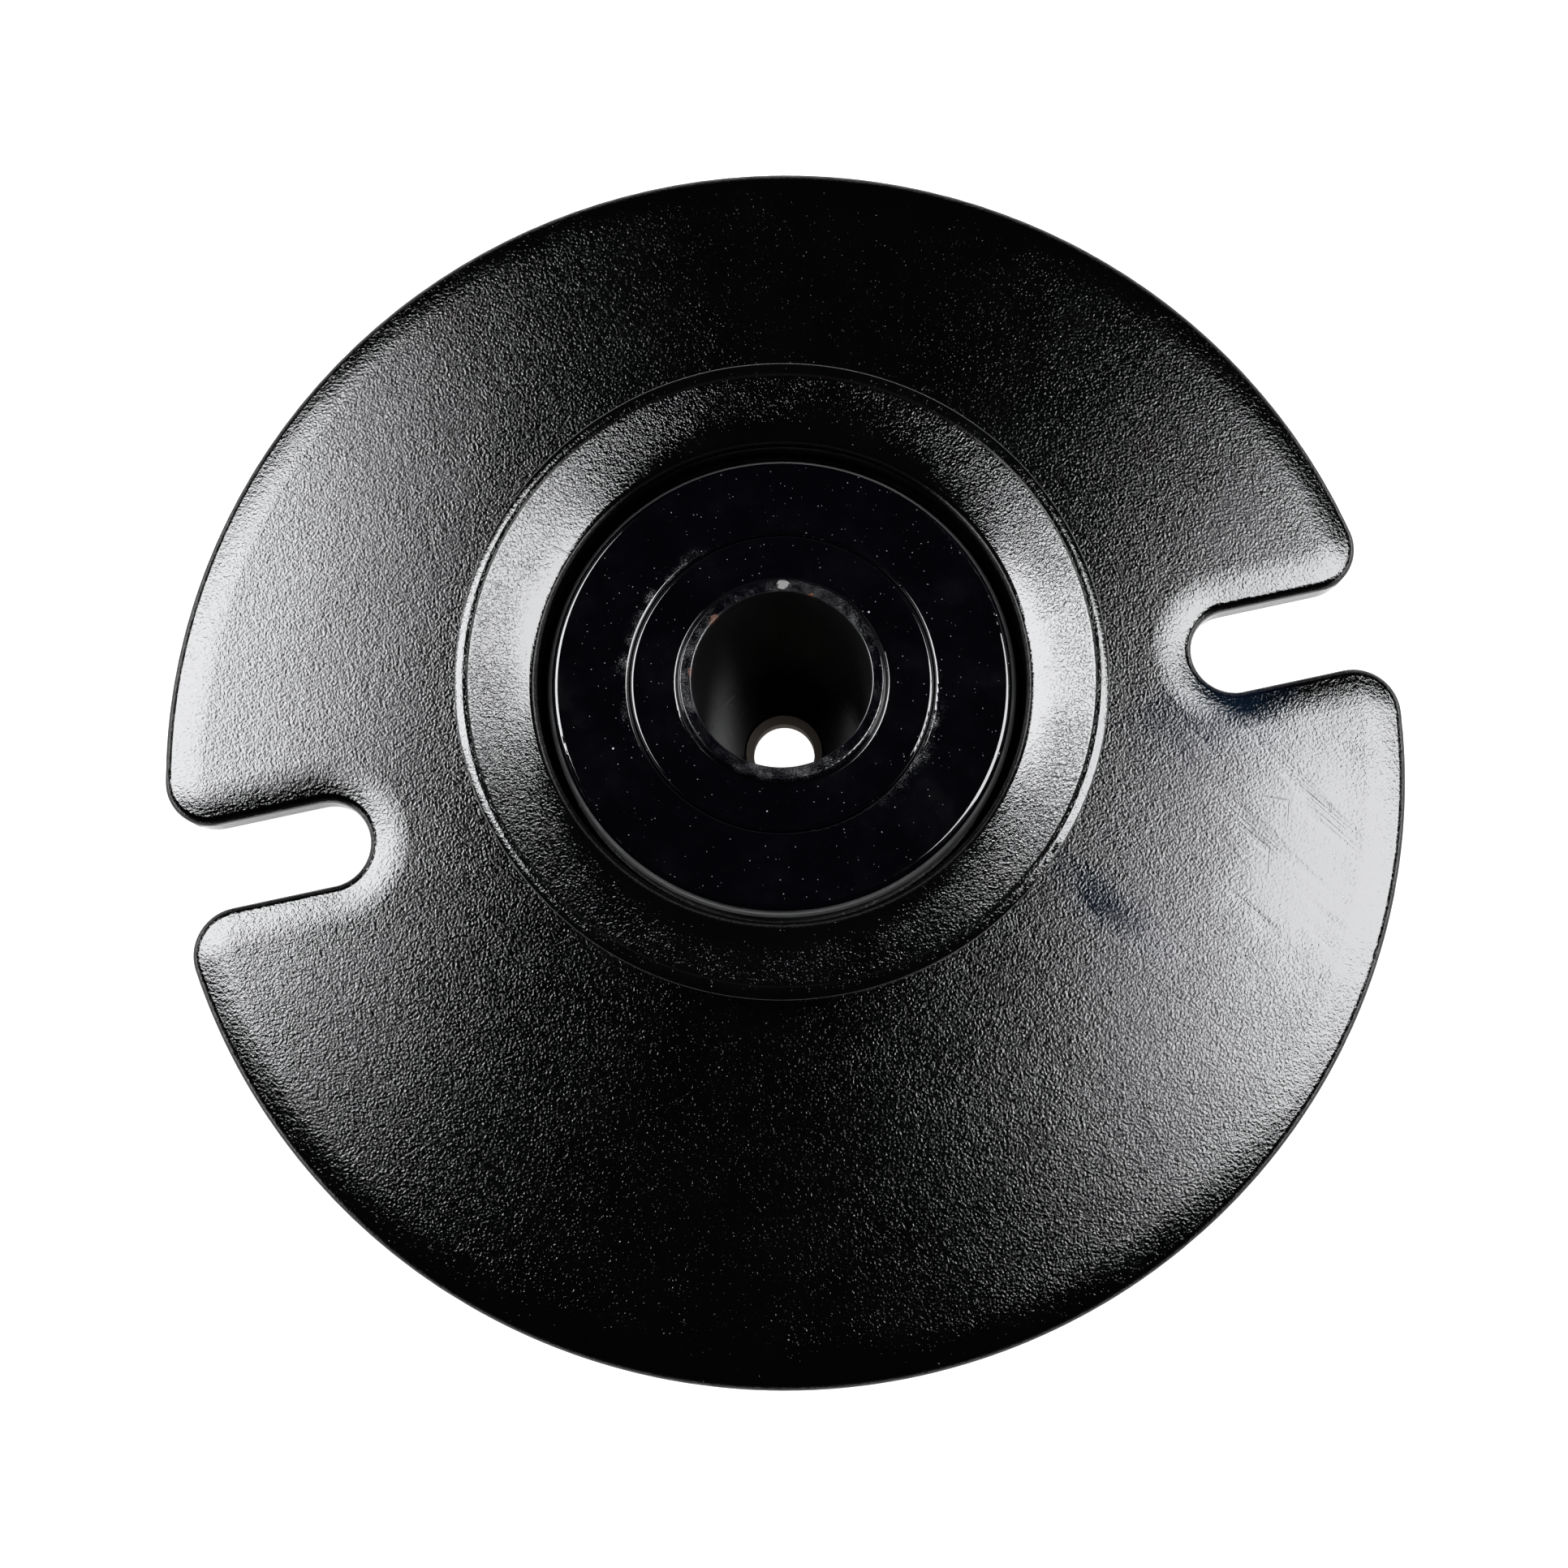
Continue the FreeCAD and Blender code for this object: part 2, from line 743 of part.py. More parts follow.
def make_cage(label, middle):
    """A thin ring on the pitch circle with a round pocket for each ball."""
    half = size("cage_half_height")
    wall = size("cage_half_wall")
    pitch = size("pitch_radius")
    outer = cylinder(f"{label}_outer", pitch + wall, half * 2, 0, middle - half)
    inner = cylinder(f"{label}_inner", pitch - wall, half * 2 + 2 * OVERRUN, 0,
                     middle - half - OVERRUN)
    pockets = []
    count = int(size("ball_count").number)
    for number in range(count):
        reach = pitch + wall + OVERRUN
        pocket = cylinder(f"{label}_pocket_{number}", size("pocket_radius"), reach, 0, middle)
        lay_outward(pocket, outward(FULL_TURN * number / count))
        pockets.append(pocket)
    cutter = doc.addObject("Part::MultiFuse", f"{label}_cutter")
    cutter.Shapes = [inner] + pockets
    cage = doc.addObject("Part::Cut", label)
    cage.Label = label
    cage.Base = outer
    cage.Tool = cutter
    return cage


def make_shields(label, bottom):
    """A thin shield in each end of the bearing, held by the outer race."""
    body = new_body(label)
    inner = size("shield_inner")
    outer = size("outer_race_inner")
    thickness = size("shield_thickness")
    low = bottom + size("shield_inset")
    high = bottom + size("bearing_width") - size("shield_inset") - thickness
    for name, start in (("low", low), ("high", high)):
        stop = start + thickness
        revolve(body, name, [(inner, start), (outer, start), (outer, stop), (inner, stop)])
    return body


def make_bearing(name, bottom):
    middle = bottom + size("bearing_width") / 2
    return [
        make_race(f"{name}_outer_race", size("bearing_outer"), size("outer_race_inner"), bottom),
        make_race(f"{name}_inner_race", size("bearing_bore"), size("inner_race_outer"), bottom),
        make_balls(f"{name}_balls", middle),
        make_cage(f"{name}_cage", middle),
        make_shields(f"{name}_shields", bottom),
    ]


# ---------------------------------------------------------------- spacers, clips and seals

def make_spacers():
    low = size("lower_bearing_bottom") + size("bearing_width")
    high = size("upper_bearing_bottom")
    outer = plain_ring("outer_spacer", size("outer_spacer_inner"), size("bearing_outer"), low, high)
    inner = plain_ring("inner_spacer", size("bearing_bore"), size("inner_spacer_outer"), low, high)
    return [outer, inner]


def make_preload_washer():
    """A dished spring washer that pushes the lower outer race up."""
    body = new_body("preload_washer")
    inner = size("preload_inner")
    outer = size("bearing_outer")
    low = size("housing_lip_top")
    high = size("lower_bearing_bottom")
    thick = size("preload_thickness")
    land = size("preload_land")
    revolve(body, "dish", [
        (inner, low),
        (inner + land, low),
        (outer, high - thick),
        (outer, high),
        (outer - land, high),
        (inner, low + thick),
    ])
    return body


def make_circlip(label, inner, outer, bottom, lug_circle):
    """An open spring ring with a lug and a plier hole at each side of its opening."""
    body = new_body(label)
    thickness = size("circlip_thickness")
    ring = revolve(body, "band", [
        (inner, bottom),
        (outer, bottom),
        (outer, bottom + thickness),
        (inner, bottom + thickness),
    ])
    ring.Midplane = True
    bind(ring, "Angle", as_size(FULL_TURN) - size("clip_opening"))
    doc.recompute()

    half_band = (FULL_TURN - size("clip_opening").number) / 2
    for name, side in (("first", 1), ("second", -1)):
        place = outward(side * (half_band - size("clip_lug_turn").number))
        across = lug_circle * place.x
        aside = lug_circle * place.y
        lug = new_sketch(body, f"{name}_lug_ring", "XY_Plane")
        draw_circle(lug, size("clip_lug_radius"), across, aside)
        draw_circle(lug, size("clip_lug_hole"), across, aside)
        bind(lug, "AttachmentOffset.Base.z", bottom)
        pad = new_feature(body, "Pad", f"{name}_lug")
        pad.Profile = lug
        bind(pad, "Length", thickness)
        doc.recompute()
    return body


def make_circlips():
    housing_low = size("upper_bearing_bottom") + size("bearing_width")
    housing = make_circlip("housing_circlip", size("housing_clip_inner"),
                           size("housing_clip_groove"), housing_low,
                           size("housing_clip_inner") - size("clip_lug_offset"))
    shaft_low = size("lower_bearing_bottom") - size("circlip_thickness")
    shaft = make_circlip("shaft_circlip", size("shaft_clip_groove"),
                         size("shaft_clip_outer"), shaft_low,
                         size("shaft_clip_outer") + size("clip_lug_offset"))
    return [housing, shaft]


def make_lip_seal(label, shaft, seat, bottom, top):
    """An L-shaped case whose lip reaches in to the turning surface."""
    body = new_body(label)
    lip = shaft + size("seal_running_gap")
    case = size("seal_case")
    web = top - case
    lip_bottom = web - size("seal_lip_height")
    lip_back = lip + size("seal_lip_width")
    bevel = size("seal_lip_bevel")
    revolve(body, "ring", [
        (seat - case, bottom),
        (seat, bottom),
        (seat, top),
        (lip + size("seal_lip_relief"), top),
        (lip, top - bevel),
        (lip, top - bevel - size("seal_land")),
        (lip + bevel, lip_bottom),
        (lip_back, lip_bottom),
        (lip_back, web),
        (seat - case, web),
    ])
    return body


def make_seals():
    housing_top = size("neck_top")
    upper = make_lip_seal("upper_seal", size("seal_sleeve_outer"), size("bearing_outer"),
                          size("upper_seal_bottom"), housing_top - size("seal_recess"))
    lower = make_lip_seal("lower_seal", size("hub_end_radius"), size("housing_lip"),
                          size("lower_seal_bottom"), size("lower_seal_top"))
    bearing_top = size("upper_bearing_bottom") + size("bearing_width")
    sleeve = plain_ring("seal_sleeve", size("bearing_bore"), size("seal_sleeve_outer"),
                        bearing_top, size("collar_bottom"))
    return [upper, lower, sleeve]


# ---------------------------------------------------------------- hub

def make_hub_sleeve():
    """Tube with a blind bore, a collar near the top and a centre hole in its floor."""
    body = new_body("hub_sleeve")
    bore = size("bore_radius")
    floor = size("bore_floor")
    hole = size("centre_hole")
    bottom = size("hub_bottom")
    end = size("hub_end_radius")
    journal = size("bearing_bore")
    clip_top = size("lower_bearing_bottom")
    clip_bottom = clip_top - size("circlip_thickness")
    clip = size("shaft_clip_groove")
    collar = size("collar_radius")
    ledge = size("collar_ledge")
    ledge_top = size("collar_ledge_top")
    face = size("cover_top")
    root = size("hub_root_radius")
    rim = size("hub_rim_radius")
    rim_top = size("hub_rim_top")
    revolve(body, "turned", [
        (hole, bottom),
        (end, bottom),
        (end, clip_bottom),
        (clip, clip_bottom),
        (clip, clip_top),
        (journal, clip_top),
        (journal, size("collar_bottom")),
        (ledge, size("collar_bottom")),
        (ledge, ledge_top),
        (collar, ledge_top),
        (collar, face),
        (root, face),
        (rim, rim_top),
        (bore, rim_top),
        (bore, floor),
        (hole, floor),
    ])
    round_circles(body, "root", size("hub_root_round"), [(root, face)])
    round_circles(body, "seam", size("seam_round"), [(collar, face)])
    round_circles(body, "rim_edges", size("hub_rim_edge"), [(rim, rim_top), (bore, rim_top)])
    round_circles(body, "end_edge", size("hub_end_edge"), [(end, bottom)], "Chamfer")
    round_circles(body, "floor_sink", size("floor_sink"), [(hole, floor)], "Chamfer")
    return body


def make_cover_disc():
    """Flat ring on the hub's collar, with a rebate underneath for the dust ring."""
    body = new_body("cover_disc")
    collar = size("collar_radius")
    edge = size("cover_radius")
    top = size("cover_top")
    rebate = size("dust_ring_inner")
    bottom = size("collar_ledge_top")
    revolve(body, "ring", [
        (collar, bottom),
        (rebate, bottom),
        (rebate, size("dust_ring_top")),
        (edge, size("dust_ring_top")),
        (edge, top),
        (collar, top),
    ])
    round_circles(body, "edge", size("cover_round"), [(edge, top)])
    round_circles(body, "seam", size("seam_round"), [(collar, top)])
    return body


def make_dust_ring():
    """Soft ring under the cover's edge, with two fine ridges on its outer wall."""
    body = new_body("dust_ring")
    inner = size("dust_ring_inner")
    outer = size("dust_ring_outer")
    top = size("dust_ring_top")
    bottom = size("dust_ring_bottom")
    valley = outer - size("dust_ridge")
    step = size("dust_ridge_step")
    edge = size("dust_ring_edge")
    revolve(body, "ring", [
        (inner, bottom),
        (valley, bottom),
        (outer, bottom + step),
        (valley, bottom + 2 * step),
        (outer, bottom + 3 * step),
        (valley, bottom + 4 * step),
        (outer, bottom + 5 * step),
        (outer, top - edge),
        (outer - edge, top),
        (inner, top),
    ])
    return body


# ---------------------------------------------------------------- assemble, check and write

def build_all():
    parts = [make_deck_plate()]
    parts += make_deck_joint()
    parts += [make_bearing_housing(), make_upper_flange(), make_flange_set_screws()]
    parts += make_bearing("lower", size("lower_bearing_bottom"))
    parts += make_bearing("upper", size("upper_bearing_bottom"))
    parts += make_spacers()
    parts += [make_preload_washer()]
    parts += make_circlips()
    parts += make_seals()
    parts += [make_hub_sleeve(), make_cover_disc(), make_dust_ring()]
    doc.recompute()
    return parts


def check_document():
    for item in doc.Objects:
        if "Invalid" in item.State or "Error" in item.State:
            raise ValueError(f"{item.Name} failed: {item.State}")


def check_part(part):
    if part.Shape.isNull() or not part.Shape.isValid():
        raise ValueError(f"{part.Label} has no valid shape")
    if part.Shape.Volume <= 0:
        raise ValueError(f"{part.Label} is empty")


def write_parts(parts):
    os.makedirs("parts", exist_ok=True)
    for part in parts:
        part.Shape.exportStep(f"parts/{part.Label}.step")
        box = part.Shape.BoundBox
        solids = len(part.Shape.Solids)
        print(f"{part.Label}: {solids} solid(s), {part.Shape.Volume:.0f} mm3, "
              f"z {box.ZMin:.2f} to {box.ZMax:.2f}, x {box.XMin:.2f} to {box.XMax:.2f}")


subparts = build_all()
check_document()
for subpart in subparts:
    check_part(subpart)
write_parts(subparts)
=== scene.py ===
import json
import math

import bpy
from mathutils import Matrix, Vector


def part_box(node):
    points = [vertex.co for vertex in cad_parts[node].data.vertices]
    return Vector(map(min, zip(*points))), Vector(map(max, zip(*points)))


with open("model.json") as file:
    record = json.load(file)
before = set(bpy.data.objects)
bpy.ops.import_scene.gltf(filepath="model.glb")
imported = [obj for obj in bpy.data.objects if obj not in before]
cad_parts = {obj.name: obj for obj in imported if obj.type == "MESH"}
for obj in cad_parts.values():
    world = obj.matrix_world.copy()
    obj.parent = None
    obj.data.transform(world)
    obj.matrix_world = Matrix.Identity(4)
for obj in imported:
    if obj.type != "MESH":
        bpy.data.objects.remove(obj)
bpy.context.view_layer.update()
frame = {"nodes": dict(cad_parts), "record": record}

# ---------------------------------------------------------------- stage sizes

MM = 0.001
HUB_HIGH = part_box("hub_sleeve")[1]

CAMERA_PLACE = Vector((-11.56, -63.76, 316.75)) * MM
CAMERA_FORWARD = Vector((0.03277, 0.18451, -0.98228))
CAMERA_UP = Vector((0.20913, 0.95979, 0.18726))
CAMERA_LENS, CAMERA_SENSOR = 44.69, 36.0    # in mm
CAMERA_NEAR = 0.01

SOFTBOX_HEIGHT = 1.0
SOFTBOX_OUTER = 1.25                    # far end of each softbox from the hub's axis
SOFTBOXES = {                           # near end, front, back in m, turn in degrees, radiance
    "softbox_left": (-0.349, -0.055, 0.515, -17.2, 20.0),
    "softbox_right": (0.221, 0.018, 0.546, -30.0, 17.9),
}
LIGHT_COLOUR = (0.975, 0.985, 1.0)
FLOOR_HALF_SIDE = 6.0
FLOOR_COLOUR = (0.30, 0.30, 0.30)
FLOOR_ROUGHNESS = 0.9
FLOOR_SPECULAR = 0.1
FLOOR_GLOW_SEEN = 1.0
FLOOR_GLOW_UNDER = 0.95                 # lights the slot walls and the hole from below
FLOOR_GLOW_FAR = 0.9                    # mirrored from well beyond the deck
FLOOR_HOLE_RADIUS = 10.0                # these three in mm: under the hub's hole,
FLOOR_SLOT_RADII = (60.0, 97.0)         # under the slots,
FLOOR_FAR_BACK = (120.0, 240.0)         # and where the far glow sets in
BACKDROP = (0.93, 0.93, 0.93)           # what a camera sees beyond the floor
ROOM_SIDE = (4.0, 4.0, 4.0)             # what the coat mirrors from each side of the room
ROOM_FRONT = (0.13, 0.11, 0.09)
ROOM_BACK = (0.60, 0.60, 0.62)
ROOM_TOP = (0.004, 0.004, 0.004)
ROOM_TURN = math.radians(-10.3)         # the room's left-right axis, seen from above
ROOM_END_FADE = (-0.2, 0.2)             # from the front's colour to the back's
ROOM_SIDE_FADE = (0.70, 0.92)           # from the ends to the side walls
ROOM_TOP_FADE = (0.10, 0.45)            # from the walls to the ceiling

# ---------------------------------------------------------------- coats: depths in micrometres

DECK_PEEL = 54.0
FLANGE_PEEL = 56.0
SHEET_WAVE = 60.0                       # slow unevenness of the pressed deck
ENAMEL_RIPPLE = 12.0
HAIRLINE_DEPTH = 50.0
CREASE_DEPTH = 9.0
NICK_DEPTH = 40.0
CROSS_DEPTH = 14.0
WEAR_DEPTH = 25.0
BORE_STREAKS = 50.0
CASTING_SKIN = 120.0
PLATED_GRAIN = 6.0
RUBBED_PEEL = 0.30                      # the share of the peel left where the coat is rubbed
WIPED_PEEL = 0.42

# ---------------------------------------------------------------- coats: colours

COAT_IOR = 1.5
LEVEL_LEAN = (0.6, 0.8)                 # dust fades in as a face's normal turns this far up
DECK_BLACKS = (0.00025, 0.00025, 0.0003), (0.0006, 0.0006, 0.0007)
FLANGE_BLACKS = (0.0003, 0.0003, 0.0004), (0.0008, 0.0008, 0.0009)
ENAMEL_BLACKS = (0.0003, 0.0003, 0.0006), (0.0006, 0.0006, 0.0011)
HOUSING_BLACKS = (0.0020, 0.0020, 0.0021), (0.0035, 0.0034, 0.0033)
WIPED_BLUE = (0.0015, 0.0040, 0.0095)
NICK_GREY = (0.01, 0.01, 0.01)
WORN_GREY = (0.09, 0.09, 0.095)
CHIP_GREY = (0.085, 0.08, 0.078)
RUST_BROWN = (0.085, 0.028, 0.012)
BARE_METAL = (0.20, 0.17, 0.14)
DUST = (0.36, 0.36, 0.36)
DUST_ROUGHNESS = 0.9
MARK_ROUGHNESS = 0.6                    # where wear, rust or a chip breaks the hub's enamel
RUBBED_ROUGHNESS = 0.10
BORE_ROUGHNESS = 0.42

# ---------------------------------------------------------------- coats: zones and marks in mm

FLANGE_CREST_RADII = (34.0, 39.5)       # the wet coat lies smoother inside these
FLANGE_LIP_RADII = (42.2, 43.2)         # and outside these, on the lip
SEAM_DUST_RADII = (25.0, 21.3)          # dust gathers towards the seam between disc and hub
RIM_RADIUS = 14.9                       # the tube's worn rim lies inside this
RIM_WEAR_DEPTHS = (1.3, 0.25)           # and fades in over these depths below its top
BORE_RADIUS, BORE_FLOOR = 12.6, 4.9     # just outside the bore's wall, just above its floor
HOLE_RADIUS, HOLE_TOP = 6.2, 4.7        # bare metal lies inside and below these

RUBBED_CENTRE, RUBBED_REACH, RUBBED_TURN = (77.0, -33.5), (11.0, 18.0), 14.0
WIPED_PATCHES = (                       # centre, reach, turn in degrees, seed
    ((46.5, -38.5), (3.0, 10.0), -39.0, 9.0),
    ((69.3, -11.2), (10.0, 5.5), 8.0, 2.0),
)
PRESSED_LINES = (                       # start, end, width
    ((-25.1, -37.3), (-23.5, -58.1), 0.26),
    ((-23.5, -58.1), (-20.2, -78.7), 0.24),
    ((-1.6, -55.2), (-3.2, -62.5), 0.26),
)
CREASES = (
    ((71.9, -32.5), (71.2, -34.3), 0.14),
    ((71.2, -34.3), (70.5, -36.5), 0.14),
    ((72.9, -24.3), (76.8, -25.9), 0.12),
    ((76.8, -25.9), (75.8, -28.9), 0.12),
    ((69.6, -28.8), (71.9, -32.5), 0.12),
    ((64.7, -29.2), (67.6, -34.9), 0.12),
)
NICK = ((83.2, -28.0), (82.8, -29.1), 0.16)
CROSS_STROKES = (
    ((-37.0, 21.3), (-33.8, 19.7), 0.11),
    ((-36.0, 20.0), (-35.2, 21.2), 0.11),
    ((-27.2, 25.0), (-24.9, 23.3), 0.11),
)
CHIP_CENTRE, CHIP_REACH = (3.05, 13.2), (0.65, 0.7)
RUST_SPOTS = (                          # centre, reach, seed
    ((-7.3, 9.9), (0.8, 0.9), 1.0),
    ((6.4, 10.8), (0.5, 0.3), 2.0),
    ((-12.1, 3.6), (0.4, 0.6), 3.0),
)

MIX_COLOURS = (0, 6, 7)                 # a Mix node's inputs for its share and two colours
MIX_NUMBERS = (0, 2, 3)                 # and for its share and two numbers
MIX_COLOUR_RESULT = 2


# ---------------------------------------------------------------- shader graph helper

class Graph:
    """A node tree, with short names for the nodes that the coats, floor and room use."""

    def __init__(self, tree):
        self.tree = tree

    def add(self, kind, **settings):
        node = self.tree.nodes.new(kind)
        for key, value in settings.items():
            setattr(node, key, value)
        return node

    def feed(self, socket, value):
        """Links a socket, or sets it when the value is a plain number or colour."""
        if isinstance(value, bpy.types.NodeSocket):
            self.tree.links.new(value, socket)
        elif value is not None:
            socket.default_value = value

    def math(self, operation, first, second=None, third=None, clamp=False):
        node = self.add("ShaderNodeMath", operation=operation, use_clamp=clamp)
        for socket, value in zip(node.inputs, (first, second, third)):
            self.feed(socket, value)
        return node.outputs[0]

    def vector(self, operation, first, second=None, scale=None):
        node = self.add("ShaderNodeVectorMath", operation=operation)
        self.feed(node.inputs[0], first)
        self.feed(node.inputs[1], second)
        if scale is not None:
            self.feed(node.inputs[3], scale)
        return node.outputs["Value" if operation in ("LENGTH", "DOT_PRODUCT") else "Vector"]

    def turned(self, vector, angle):
        node = self.add("ShaderNodeVectorRotate", rotation_type="Z_AXIS")
        self.feed(node.inputs["Vector"], vector)
        node.inputs["Angle"].default_value = angle
        return node.outputs[0]

    def split(self, vector):
        node = self.add("ShaderNodeSeparateXYZ")
        self.feed(node.inputs[0], vector)
        return node.outputs

    def join(self, x, y, z):
        node = self.add("ShaderNodeCombineXYZ")
        for socket, value in zip(node.inputs, (x, y, z)):
            self.feed(socket, value)
        return node.outputs[0]

    def step(self, value, low, high, to_low=0.0, to_high=1.0, shape="SMOOTHSTEP"):
        """Goes from to_low to to_high as value goes from low to high."""
        node = self.add("ShaderNodeMapRange", interpolation_type=shape)
        for socket, number in zip(node.inputs, (value, low, high, to_low, to_high)):
            self.feed(socket, number)
        return node.outputs[0]

    def mix(self, share, first, second):
        node = self.add("ShaderNodeMix", data_type="RGBA")
        for index, value in zip(MIX_COLOURS, (share, colour(first), colour(second))):
            self.feed(node.inputs[index], value)
        return node.outputs[MIX_COLOUR_RESULT]

    def mix_value(self, share, first, second):
        node = self.add("ShaderNodeMix", data_type="FLOAT")
        for index, value in zip(MIX_NUMBERS, (share, first, second)):
            self.feed(node.inputs[index], value)
        return node.outputs[0]


class Coat(Graph):
    """A material's node tree, with places in mm and the share by which a face lies level."""

    def __init__(self, name):
        self.material = bpy.data.materials.new(name)
        self.material.use_nodes = True
        super().__init__(self.material.node_tree)
        self.shader = self.tree.nodes["Principled BSDF"]
        coordinates = self.add("ShaderNodeTexCoord")
        self.place = self.vector("SCALE", coordinates.outputs["Object"], scale=1 / MM)
        self.level = self.step(self.split(coordinates.outputs["Normal"])[2], *LEVEL_LEAN)

    def radius(self):
        """Distance from the Z axis, in mm."""
        return self.vector("LENGTH", self.vector("MULTIPLY", self.place, (1.0, 1.0, 0.0)))

    def noise(self, size, vector=None, detail=2.0, roughness=0.5, warp=0.0):
        """Smooth noise from 0 to 1 whose features are about size mm across."""
        node = self.add("ShaderNodeTexNoise")
        self.feed(node.inputs["Vector"], self.place if vector is None else vector)
        node.inputs["Scale"].default_value = 1.0 / size
        node.inputs["Detail"].default_value = detail
        node.inputs["Roughness"].default_value = roughness
        node.inputs["Distortion"].default_value = warp
        return node.outputs[0]

    def cells(self, size, vector):
        """Flat cells about size mm across, for marks that lie one to a cell."""
        node = self.add("ShaderNodeTexVoronoi", voronoi_dimensions="2D")
        self.feed(node.inputs["Vector"], vector)
        node.inputs["Scale"].default_value = 1.0 / size
        return node.outputs

    def bump(self, height, micrometres, below=None):
        """Raises heights of 0 to 1 by this many micrometres, or sinks them if negative."""
        node = self.add("ShaderNodeBump")
        node.inputs["Distance"].default_value = micrometres * 1e-6
        self.feed(node.inputs["Height"], height)
        self.feed(node.inputs["Normal"], below)
        return node.outputs[0]

    def surface(self, **values):
        for name, value in values.items():
            socket = self.shader.inputs[name.replace("_", " ").title().replace("Ior", "IOR")]
            self.feed(socket, colour(value) if name.endswith("color") else value)
        return self.material


def colour(value):
    if isinstance(value, (tuple, list)) and len(value) == 3:
        return (*value, 1.0)
    return value


# ---------------------------------------------------------------- marks shared by the coats

def spots(graph, spacing, radius, share, seed):
    """Round specks on level faces, about spacing mm apart; only this share of places has one."""
    moved = graph.vector("ADD", graph.place, (seed * 3.1, seed * 1.7, 0.0))
    found = graph.cells(spacing, moved)
    chance, fate, _ = graph.split(found["Color"])
    chosen = graph.math("LESS_THAN", chance, share)
    reach = graph.math("MULTIPLY", graph.math("POWER", fate, 2.0), radius / spacing)
    near = graph.step(found["Distance"], reach, graph.math("MULTIPLY", reach, 0.5))
    return graph.math("MULTIPLY", graph.math("MULTIPLY", near, chosen), graph.level)


def hairs(graph, seed, spacing=5.0, share=0.4):
    """Single short curled fibres, about spacing mm apart, on level faces."""
    moved = graph.vector("ADD", graph.place, (seed * 2.3, seed, 0.0))
    found = graph.cells(spacing, moved)
    chance, bend, _ = graph.split(found["Color"])
    centre = graph.vector("SCALE", found["Position"], scale=spacing)
    offset = graph.vector("SUBTRACT", moved, centre)
    x, y, _ = graph.split(offset)
    angle = graph.math("MULTIPLY", bend, math.tau)
    sine, cosine = graph.math("SINE", angle), graph.math("COSINE", angle)
    arm = graph.math("MULTIPLY_ADD", bend, 0.5, 0.3)
    off_x = graph.math("SUBTRACT", x, graph.math("MULTIPLY", cosine, arm))
    off_y = graph.math("SUBTRACT", y, graph.math("MULTIPLY", sine, arm))
    reach = graph.vector("LENGTH", graph.join(off_x, off_y, 0.0))
    away = graph.math("ABSOLUTE", graph.math("SUBTRACT", reach, arm))
    line = graph.step(away, 0.045, 0.02)
    span = graph.vector("LENGTH", graph.join(x, y, 0.0))
    kept = product(graph, graph.math("LESS_THAN", chance, share), graph.step(span, 0.55, 0.45),
                   graph.level)
    return graph.math("MULTIPLY", line, kept)


def hairlines(graph, angle, seed, spacing=0.40, length=16.0, share=0.5):
    """Fine straight scratches that run one way and come and go."""
    turned = graph.turned(graph.place, angle)
    stretched = graph.vector("MULTIPLY", turned, (1 / length, 1 / spacing, 1 / length))
    stretched = graph.vector("ADD", stretched, (seed, seed, seed))
    field = graph.noise(1.0, stretched, detail=2.0)
    broad = graph.vector("MULTIPLY", turned, (1 / (2 * length), 1 / 5.0, 1 / length))
    kept = graph.noise(1.0, graph.vector("ADD", broad, (seed, seed, seed)), detail=1.0)
    return graph.math("MULTIPLY", field, graph.step(kept, 1.0 - share, 1.12 - share))


def strokes(graph, lines):
    """Several scratches as one mask."""
    return most(graph, *[stroke(graph, *line) for line in lines])


def stroke(graph, start, end, width):
    """One thin scratch from start to end, in mm."""
    start, end = Vector((*start, 0.0)), Vector((*end, 0.0))
    run = end - start
    flat = graph.vector("MULTIPLY", graph.place, (1.0, 1.0, 0.0))
    offset = graph.vector("SUBTRACT", flat, tuple(start))
    share = graph.math("MULTIPLY", graph.vector("DOT_PRODUCT", offset, tuple(run)),
                       1 / run.length_squared, clamp=True)
    nearest = graph.vector("SCALE", tuple(run), scale=share)
    wander = graph.math("MULTIPLY", graph.math("SUBTRACT", graph.noise(1.5), 0.5), width)
    away = graph.vector("LENGTH", graph.vector("SUBTRACT", offset, nearest))
    return graph.step(graph.math("ADD", away, wander), width, width * 0.4)


def wobbled(graph, distance, ragged, grain, seed):
    """Makes a distance uneven, so that what is cut from it has a ragged edge."""
    shifted = graph.vector("ADD", graph.place, (seed, seed, seed))
    wobble = graph.math("SUBTRACT", graph.noise(grain, shifted, detail=3.0), 0.5)
    return graph.math("MULTIPLY_ADD", wobble, ragged * 4, distance)


def patch(graph, centre, reach, turn=0.0, ragged=0.35, seed=0.0, edge=0.35, grain=6.0):
    """A soft-edged oval mark: 1 inside, 0 outside; centre and reach in mm, turn in degrees."""
    away = graph.vector("SUBTRACT", graph.place, (*centre, 0.0))
    turned = graph.turned(away, math.radians(turn))
    scaled = graph.vector("MULTIPLY", turned, (1 / reach[0], 1 / reach[1], 0.0))
    distance = wobbled(graph, graph.vector("LENGTH", scaled), ragged, grain, seed)
    return graph.step(distance, 1.0 + edge, 1.0 - edge)


def sector(graph, centre, spread):
    """1 towards this direction round the Z axis, falling to 0 spread degrees away."""
    toward = (math.cos(math.radians(centre)), math.sin(math.radians(centre)), 0.0)
    flat = graph.vector("NORMALIZE", graph.vector("MULTIPLY", graph.place, (1.0, 1.0, 0.0)))
    return graph.step(graph.vector("DOT_PRODUCT", flat, toward),
                      math.cos(math.radians(spread)), 1.0)


def most(graph, first, *others):
    for other in others:
        first = graph.math("MAXIMUM", first, other)
    return first


def product(graph, first, *others):
    for other in others:
        first = graph.math("MULTIPLY", first, other)
    return first


